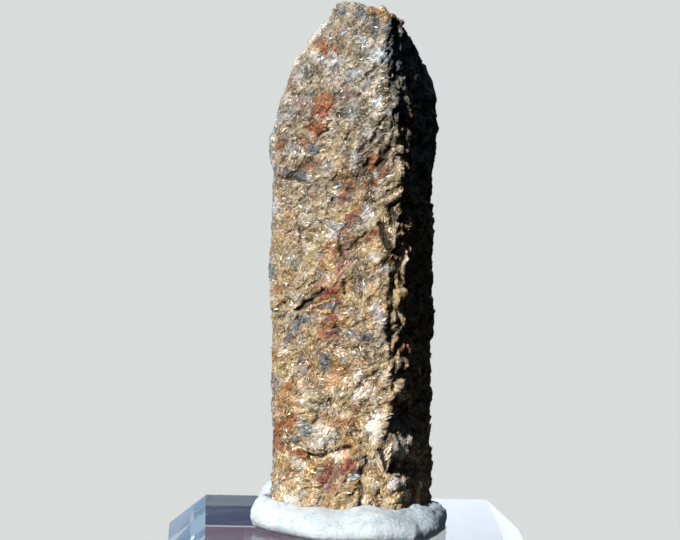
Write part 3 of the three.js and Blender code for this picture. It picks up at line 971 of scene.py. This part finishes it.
def tack_material(settings):
    """Mineral tack, a kneaded putty of chalk and oil: matt and soft-edged, and a little light comes
    through its surface. Its creases and its kneaded right end are painted a shaded blue-grey."""
    material, add, places = new_material("kneaded_mineral_tack")
    smudges = {"Vector": places, "Scale": per(1.2 * MM), "Detail": 5.0, "Roughness": 0.7}
    smudge = add("TexNoise", smudges)
    whites = ((0.34, linear("#9dabb4")), (0.5, settings.colour))
    ground = add("ValToRGB", {"Fac": smudge}, stops=whites)
    crease_and_shaded_end = add("Attribute", attribute_name="crease_and_shaded_end")
    # painted shade: the creases and the right end darken to a shaded blue-grey
    colour = add("Mix", {0: crease_and_shaded_end, COLOUR_A: ground, COLOUR_B: linear("#8499a6")}, data_type="RGBA")
    skin = add("TexNoise", {"Vector": places, "Scale": per(0.35 * MM), "Detail": 4.0})
    bump = add("Bump", {"Height": skin, "Distance": 0.16 * MM, "Strength": 0.9})
    roughness = add("MapRange", {"Value": skin, "To Min": 0.68, "To Max": 0.92})
    finish = {"Base Color": colour, "Roughness": roughness, "Normal": bump, "IOR": 1.48}
    glow = {
        "Subsurface Weight": 0.35,
        "Subsurface Radius": (0.85, 0.95, 1.0),
        "Subsurface Scale": 0.8 * MM,
    }
    shader = add("BsdfPrincipled", {**finish, **glow})
    add("OutputMaterial", {"Surface": shader})
    return material


def acrylic_material(settings):
    """Cast acrylic with sawn and flame-polished faces: as clear as water and a little cool in its
    thickness, with soft smudges and hairlines that only show in its gloss."""
    material, add, places = new_material("polished_cast_acrylic")
    smudges = {"Vector": places, "Scale": per(6 * MM), "Detail": 4.0, "Roughness": 0.6}
    smudge = add("TexNoise", smudges)
    spread = {"From Min": 0.5, "From Max": 0.75, "To Min": 0.01, "To Max": 0.09}
    roughness = add("MapRange", {"Value": smudge, **spread})
    polish = add("TexNoise", {"Vector": places, "Scale": per(4 * MM), "Detail": 1.0})
    bump = add("Bump", {"Height": polish, "Distance": 0.01 * MM, "Strength": 0.25})
    finish = {"Base Color": settings.colour, "Roughness": roughness, "Normal": bump, "IOR": 1.49}
    shader = add("BsdfPrincipled", {**finish, "Transmission Weight": 1.0})
    depth = add("VolumeAbsorption", {"Color": settings.depth_colour, "Density": 6.0})
    add("OutputMaterial", {"Surface": shader, "Volume": depth})
    return material


# ---- Settings ----


def colour_property(name, about, code):
    colour = linear(code)
    return FloatVectorProperty(
        name=name, description=about, subtype="COLOR", size=3, min=0, max=1, default=colour
    )


def length_property(name, about, length):
    return FloatProperty(name=name, description=about, default=length, unit="LENGTH")


class CrystalSettings(bpy.types.PropertyGroup):
    ledge_height: length_property("Ledge height", "How far a sheet steps out of the next", 0.2 * MM)
    plate_size: length_property("Plate size", "How far apart the tilted plates are", 1.3 * MM)
    flake_length: length_property("Flake length", "The usual length of a flake of mica", 0.44 * MM)
    flake_count: IntProperty(
        name="Flakes", description="How many flakes of each kind", default=33000, min=100, max=33000
    )
    gold_colour: colour_property("Golden mica", "Weathered mica, as it is low on the prism", "#cdad69")
    grey_colour: colour_property("Grey mica", "Fresher mica, as it is near the tip", "#a2967e")
    # painted shade: the colour that the skin's hollows darken to
    hollow_shade_colour: colour_property("Hollows", "The ground between the flakes", "#3a2e1f")


class TackSettings(bpy.types.PropertyGroup):
    dent_depth: length_property("Dents", "How deep the thumb has pressed", 0.3 * MM)
    colour: colour_property("Tack", "The putty's own white", "#c0c8cc")


class BlockSettings(bpy.types.PropertyGroup):
    edge_radius: length_property("Edge radius", "How far the polish has rounded the edges", 0.22 * MM)
    colour: colour_property("Surface", "The tint of the polished faces", "#f7fafc")
    depth_colour: colour_property("Depth", "The tint that the block's thickness gives", "#cfe4ee")


class StageSettings(bpy.types.PropertyGroup):
    lamp_strength: FloatProperty(name="Lamp", description="The key lamp's strength", default=5.9, min=0)
    floor_colour: colour_property("Floor", "The plain floor", "#c9cac6")


# ---- Operators ----


class CHIASTOLITE_OT_crystal_skin(bpy.types.Operator):
    """Makes the crystal's weathered skin over the plain solid"""

    bl_idname = "chiastolite.crystal_skin"
    bl_label = "Crystal Skin"

    def execute(self, context):
        settings = context.scene.chiastolite_crystal
        skin = weathered_skin(settings)
        rows, columns = skin.relief.shape
        points = skin.points.reshape(-1, 3)
        middle = axis_point(0)
        middle[2] = points[:columns, 2].mean()
        every = np.concatenate([points, [middle, skin.top]])
        faces, uvs = capped_faces(rows, columns)
        values = surface_values(every)
        values["relief"] = np.concatenate([skin.relief.ravel(), [0, skin.relief[-1].mean()]]) / MM
        mesh = make_mesh("crystal_skin", every, faces, uvs, values)
        add_piece("crystal_skin", mesh, skin_material(settings), ["crystal"])
        return {"FINISHED"}


def surface_values(points):
    """What the mineral's colours depend on, for each point of a skin or the middle of each flake."""
    height = (points[:, 2] - FOOT) / MM
    values = stain_strengths(points)
    cloud = 8 * noise(points, 6 * MM, 61) + 6 * noise(points, 2 * MM, 62)
    values["greyness"] = 0.12 + 0.75 * smoothstep(height + cloud, 24, 46)
    return values


class CHIASTOLITE_OT_mica_flakes(bpy.types.Operator):
    """Covers the crystal with flakes of mica, each a flat-topped sliver with its root in the rock"""

    bl_idname = "chiastolite.mica_flakes"
    bl_label = "Mica Flakes"

    def execute(self, context):
        settings = context.scene.chiastolite_crystal
        skin = weathered_skin(settings)
        for kind in FLAKE_KINDS:
            rng = np.random.default_rng(kind.seed)
            spots = spots_on(skin, settings.flake_count, rng)
            points = spots[0]
            count = len(points)
            values = surface_values(points)
            calm = calmness(values)
            # where the mica is fresh its plates are broad
            fresh = np.clip(np.maximum(calm, values["graphite"]), 0, 1)
            stretch = (1 + 0.3 * fresh) * (0.72 + 0.36 * foliated(points))
            made = flake_points(spots, stretch, calm, kind, settings, rng)
            # fresh plates are paler: partly their own colour, partly a painted sheen
            shade = rng.normal(kind.shade, 0.22, count) + 0.2 * calm - 0.03 * foliated(points)
            # painted highlight: the rim of the tip, where the lamp catches it, is the palest
            shade += 0.4 * smoothstep(values["satin"], 1.9, 2.2)
            values["shade"] = np.clip(shade, 0, 1)
            values["chance"] = rng.random(count)
            spread = {key: np.repeat(v, FLAKE_CORNERS + 1) for key, v in values.items()}
            mesh = make_mesh(
                kind.name, made.reshape(-1, 3), flake_faces(count), flake_map(count), spread
            )
            material = flake_material(kind, settings)
            add_piece(kind.name, mesh, material)
        return {"FINISHED"}


TACK_COLUMNS = 320
TACK_RAYS = 72
TACK_MIDDLE = 1.2 * MM  # the height on the crystal at which the ring is measured off it
TACK_CORE_OUT = 0.9 * MM  # the line inside the ring: how far off the crystal
TACK_CORE_UP = 0.95 * MM  # and how high above the block
TACK_UNDER = 0.15 * MM  # how far the putty reaches in under the crystal's foot
TACK_SWELL = 0.9 * MM  # how far the pulled end swells out on the front right
TACK_SWELL_TURN = math.radians(-19)
TACK_SWELL_WIDTH = math.radians(14)


def tack_grid():
    """The pressed ring, as rays from a line inside it out to the solid's surface. The grid's rings
    run round the crystal, and its rows round the ring's section."""
    surface = solid_surface("mineral_tack")
    crystal = solid_surface("crystal")
    grid = np.zeros((TACK_RAYS, TACK_COLUMNS, 3))
    for c in range(TACK_COLUMNS):
        turn = 2 * math.pi * c / TACK_COLUMNS
        out = np.array([math.cos(turn), math.sin(turn), 0.0])
        wall = np.array(cast(crystal, axis_point(TACK_MIDDLE), out)) @ out
        core = out * (wall + TACK_CORE_OUT) + np.array([0, 0, BLOCK_TOP + TACK_CORE_UP])
        low = wall - TACK_UNDER
        for r in range(TACK_RAYS):
            rise = 2 * math.pi * r / TACK_RAYS
            way = out * math.cos(rise) + np.array([0, 0, math.sin(rise)])
            spot = np.array(cast(surface, core, way))
            if spot @ out < low:
                spot = core + way * (low - core @ out) / (way @ out)
            grid[r, c] = spot
    return grid


def tack_relief(points, settings):
    """Thumb dents, folds and fine wrinkles, and how far each point is in a crease or on the kneaded right
    end, which the colour darkens as painted shade.
    """
    dents = noise(points, 3.1 * MM, 91) + 0.6 * noise(points, 1.3 * MM, 92)
    wrinkles = np.abs(noise(points, 0.6 * MM, 94, stretch=0.8))
    splits = np.abs(noise(points, 0.7 * MM, 93, stretch=2.2))
    # the right end has been pulled and kneaded the most
    worked = smoothstep(points[:, 0] / PRISM_HALF + 0.6 * noise(points, 4 * MM, 95), 0.5, 1.2)
    # painted shade: the creases, and the whole kneaded right end, which turns from the lamp
    crease_and_shaded_end = (1 - smoothstep(splits, 0.0, 0.14)) * (0.12 + 0.4 * worked) + 0.35 * worked
    pits = smoothstep(noise(points, 0.45 * MM, 97), 0.6, 0.85)
    relief = 0.5 * settings.dent_depth * dents * (1 - 0.7 * worked) - 0.12 * MM * crease_and_shaded_end
    relief += 0.12 * MM * (wrinkles - 0.4) * (0.5 + worked) - 0.08 * MM * pits
    relief += 0.03 * MM * noise(points, 0.25 * MM, 96)
    return relief, crease_and_shaded_end


class CHIASTOLITE_OT_mineral_tack(bpy.types.Operator):
    """Makes the ring of putty that is pressed round the crystal's foot"""

    bl_idname = "chiastolite.mineral_tack"
    bl_label = "Mineral Tack"

    def execute(self, context):
        settings = context.scene.chiastolite_tack
        grid = relaxed(tack_grid(), 3, closed=True)
        relief, crease_and_shaded_end = tack_relief(grid.reshape(-1, 3), settings)
        # the putty is pressed smooth against the crystal
        rise = 2 * math.pi * np.arange(TACK_RAYS) / TACK_RAYS
        free = smoothstep(np.cos(rise), -0.9, -0.2)[:, None]
        turns = 2 * math.pi * np.arange(TACK_COLUMNS) / TACK_COLUMNS
        away = (turns - TACK_SWELL_TURN + math.pi) % (2 * math.pi) - math.pi
        swell = TACK_SWELL * np.exp(-((away / TACK_SWELL_WIDTH) ** 2))
        relief = relief.reshape(grid.shape[:2]) * free
        relief += smoothstep(np.cos(rise), 0, 0.8)[:, None] * swell
        grid = grid + grid_normals(grid, closed=True) * relief[..., None]
        grid[..., 2] = np.maximum(grid[..., 2], BLOCK_TOP)
        faces, uvs = [], []
        for r, c in itertools.product(range(TACK_RAYS), range(TACK_COLUMNS)):
            face, square = grid_face(r, c, grid.shape[:2], r / TACK_RAYS, (r + 1) / TACK_RAYS)
            faces.append(face)
            uvs += square
        mesh = make_mesh("pressed_tack", grid.reshape(-1, 3), faces, uvs, {"crease_and_shaded_end": crease_and_shaded_end})
        mesh.polygons.foreach_set("use_smooth", [True] * len(faces))
        add_piece("pressed_tack", mesh, tack_material(settings), ["mineral_tack"])
        return {"FINISHED"}


class CHIASTOLITE_OT_acrylic_block(bpy.types.Operator):
    """Gives the block its clear, polished finish and softens its edges"""

    bl_idname = "chiastolite.acrylic_block"
    bl_label = "Acrylic Block"

    def execute(self, context):
        settings = context.scene.chiastolite_block
        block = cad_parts["acrylic_block"]
        block.data.materials.clear()
        block.data.materials.append(acrylic_material(settings))
        softened = block.modifiers.new("polished_edges", "BEVEL")
        softened.width = settings.edge_radius
        softened.segments = 2
        softened.limit_method = "ANGLE"
        return {"FINISHED"}


FLOOR_RADIUS = 4.0
FLOOR_CORNERS = 96
FLOOR_GAP = 0.05 * MM
LAMP_WAY = (-0.45, -0.7, 0.56)
LAMP_WIDTH = math.radians(1.5)
SOFTBOX_WAY = (-0.6, 0.72, 0.35)
OVERHEAD_WAY = (0.1, -0.15, 1.0)

# The parts of the surroundings: how strong each is, and what it fades in along, from where to where.
WORLD_PARTS = (
    ("softbox", 0.8, (("softbox", 0.25, 0.95),)),
    ("overhead", 0.25, (("overhead", 0.72, 0.97),)),
    ("behind", 1.0, (("y", 0.0, 0.2),)),
    ("left", 1.0, (("x", -0.1, -0.4),)),
    ("gap", 1.0, (("away in x", 0.06, 0.025), ("away in z", 0.3, 0.15))),
    ("panel", 1.25, (("x", 0.035, 0.07), ("x", 0.45, 0.3), ("away in z", 0.215, 0.165), ("y", 0.0, 0.2))),
)

GAP_HIDES = 0.95  # how much of the soft light the gap hides
INSIDE_COLOURS = {"pale": "#e0e1dd", "blue": "#a4bccb", "navy": "#1f2f66", "mauve": "#8a6676"}
LIGHT_TURNS = 28

# The camera: about 350 mm in front, a little to the left, looking slightly down.
CAMERA_PLACE = (-15.3 * MM, -349.7 * MM, 89.4 * MM)
CAMERA_TURN = math.radians(-2.2)
CAMERA_DOWN = math.radians(6.157)
CAMERA_ROLL = math.radians(1.4)
CAMERA_LENS = 181.6
CAMERA_SENSOR = 36.0
CAMERA_CLIPS = (0.01, 20)


def floor_material(settings):
    """Matt paper, which gives the eye nothing to look at."""
    material, add, _ = new_material("matt_paper")
    shader = add("BsdfDiffuse", {"Color": settings.floor_colour})
    add("OutputMaterial", {"Surface": shader})
    return material


def softbox_world():
    """A broad soft light from behind on the left and a cool one overhead, dim on the right. Behind
    the specimen a dark gap parts the soft light from a bright panel, and both show in the clear
    block alone. What the camera sees past the specimen is as pale as the floor."""
    world = bpy.data.worlds.new("soft_studio")
    add = adder(world)
    way = add("TexCoord").outputs["Generated"]
    measures = dict(zip("xyz", add("SeparateXYZ", {0: way}).outputs))
    for axis in "xz":
        measures["away in " + axis] = add("Math", {0: measures[axis]}, operation="ABSOLUTE")
    for name, towards in (("softbox", SOFTBOX_WAY), ("overhead", OVERHEAD_WAY)):
        both = {0: way, 1: tuple(Vector(towards).normalized())}
        measures[name] = add("VectorMath", both, operation="DOT_PRODUCT")
    parts = {}
    for name, most, edges in WORLD_PARTS:
        part = most
        for measure, start, end in edges:
            fade = {"Value": measures[measure], "From Min": start, "From Max": end}
            edge = add("MapRange", fade, interpolation_type="SMOOTHSTEP")
            part = add("Math", {0: part, 1: edge}, operation="MULTIPLY")
        parts[name] = part
    left = add("Math", {0: parts["gap"], 1: -GAP_HIDES, 2: 1.0}, operation="MULTIPLY_ADD")
    sums = {0: parts["softbox"], 1: left, 2: parts["overhead"]}
    soft = add("Math", sums, operation="MULTIPLY_ADD")
    cool = add("Background", {"Color": linear("#b4d0f5"), "Strength": soft})
    white = add("Background", {"Color": linear("#eeeefc"), "Strength": parts["panel"]})
    lit = add("AddShader", {0: cool, 1: white})

    looks = {name: linear(code) for name, code in INSIDE_COLOURS.items()}
    for made, part, below, above in (
        ("sides", "left", "pale", "blue"),
        ("far side", "behind", "navy", "mauve"),
        ("through", "gap", "sides", "far side"),
    ):
        both = {0: parts[part], COLOUR_A: looks[below], COLOUR_B: looks[above]}
        looks[made] = add("Mix", both, data_type="RGBA")
    inside = add("Background", {"Color": looks["through"], "Strength": 1.0})
    seen = add("Background", {"Color": linear("#c9cac6"), "Strength": 1.0})
    ray = add("LightPath").outputs
    # the block shows this to the eye alone, and lights nothing with it
    depths = {0: ray["Is Transmission Ray"], 1: ray["Diffuse Depth"]}
    straight = add("Math", depths, operation="GREATER_THAN")
    mixed = add("MixShader", {0: straight, 1: lit, 2: inside})
    mixed = add("MixShader", {0: ray["Is Camera Ray"], 1: mixed, 2: seen})
    add("OutputWorld", {"Surface": mixed})
    return world


class CHIASTOLITE_OT_studio(bpy.types.Operator):
    """Makes the floor, the lamp, the surroundings and the camera"""

    bl_idname = "chiastolite.studio"
    bl_label = "Studio"

    def execute(self, context):
        scene = context.scene
        settings = scene.chiastolite_stage
        turns = [2 * math.pi * k / FLOOR_CORNERS for k in range(FLOOR_CORNERS)]
        rim = [(FLOOR_RADIUS * math.cos(t), FLOOR_RADIUS * math.sin(t), -FLOOR_GAP) for t in turns]
        mesh = bpy.data.meshes.new("floor")
        mesh.from_pydata(rim, [], [tuple(range(FLOOR_CORNERS))])
        mesh.materials.append(floor_material(settings))
        floor = add_object("floor", mesh)
        # the floor's own glow would wash out the shaded side
        floor.visible_diffuse = floor.visible_glossy = floor.visible_transmission = False
        floor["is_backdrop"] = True

        lamp = bpy.data.lights.new("key_lamp", "SUN")
        lamp.energy = settings.lamp_strength
        lamp.angle = LAMP_WIDTH
        lamp.color = linear("#fffdf9")
        key = add_object("key_lamp", lamp)
        key.rotation_euler = Vector(LAMP_WAY).to_track_quat("Z", "Y").to_euler()
        scene.world = softbox_world()

        lens = bpy.data.cameras.new("camera")
        lens.lens = CAMERA_LENS
        lens.sensor_width = CAMERA_SENSOR
        lens.clip_start, lens.clip_end = CAMERA_CLIPS
        camera = add_object("camera", lens)
        camera.matrix_world = (
            Matrix.Translation(CAMERA_PLACE)
            @ Matrix.Rotation(CAMERA_TURN, 4, "Z")
            @ Matrix.Rotation(math.pi / 2 - CAMERA_DOWN, 4, "X")
            @ Matrix.Rotation(CAMERA_ROLL, 4, "Z")
        )
        scene.camera = camera
        scene.view_settings.view_transform = "Standard"
        # light takes many turns in the clear block's bevels before it comes out
        for turning in ("max_bounces", "glossy_bounces", "transmission_bounces"):
            setattr(scene.cycles, turning, LIGHT_TURNS)
        return {"FINISHED"}


STEPS = ("studio", "crystal_skin", "mica_flakes", "mineral_tack", "acrylic_block")


class VIEW3D_PT_chiastolite(bpy.types.Panel):
    """Lists the steps that make the specimen"""

    bl_label = "Chiastolite Specimen"
    bl_space_type = "VIEW_3D"
    bl_region_type = "UI"
    bl_category = "Chiastolite"

    def draw(self, context):
        for step in STEPS:
            self.layout.operator("chiastolite." + step)
        for group in SETTINGS:
            box = self.layout.box()
            held = getattr(context.scene, group)
            for name in held.bl_rna.properties.keys():
                if name not in ("rna_type", "name"):
                    box.prop(held, name)


SETTINGS = {
    "chiastolite_crystal": CrystalSettings,
    "chiastolite_tack": TackSettings,
    "chiastolite_block": BlockSettings,
    "chiastolite_stage": StageSettings,
}
CLASSES = (
    *SETTINGS.values(),
    CHIASTOLITE_OT_crystal_skin,
    CHIASTOLITE_OT_mica_flakes,
    CHIASTOLITE_OT_mineral_tack,
    CHIASTOLITE_OT_acrylic_block,
    CHIASTOLITE_OT_studio,
    VIEW3D_PT_chiastolite,
)


def register():
    for made in CLASSES:
        bpy.utils.register_class(made)
    for name, group in SETTINGS.items():
        setattr(bpy.types.Scene, name, PointerProperty(type=group))


def unregister():
    for name in SETTINGS:
        delattr(bpy.types.Scene, name)
    for made in reversed(CLASSES):
        bpy.utils.unregister_class(made)


def main():
    register()
    for step in STEPS:
        getattr(bpy.ops.chiastolite, step)()
    boxes = {"cad": CAD_BOX, "visual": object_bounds()}
    {name: [list(corner) for corner in box] for name, box in boxes.items()}


if __name__ == "__main__":
    main()
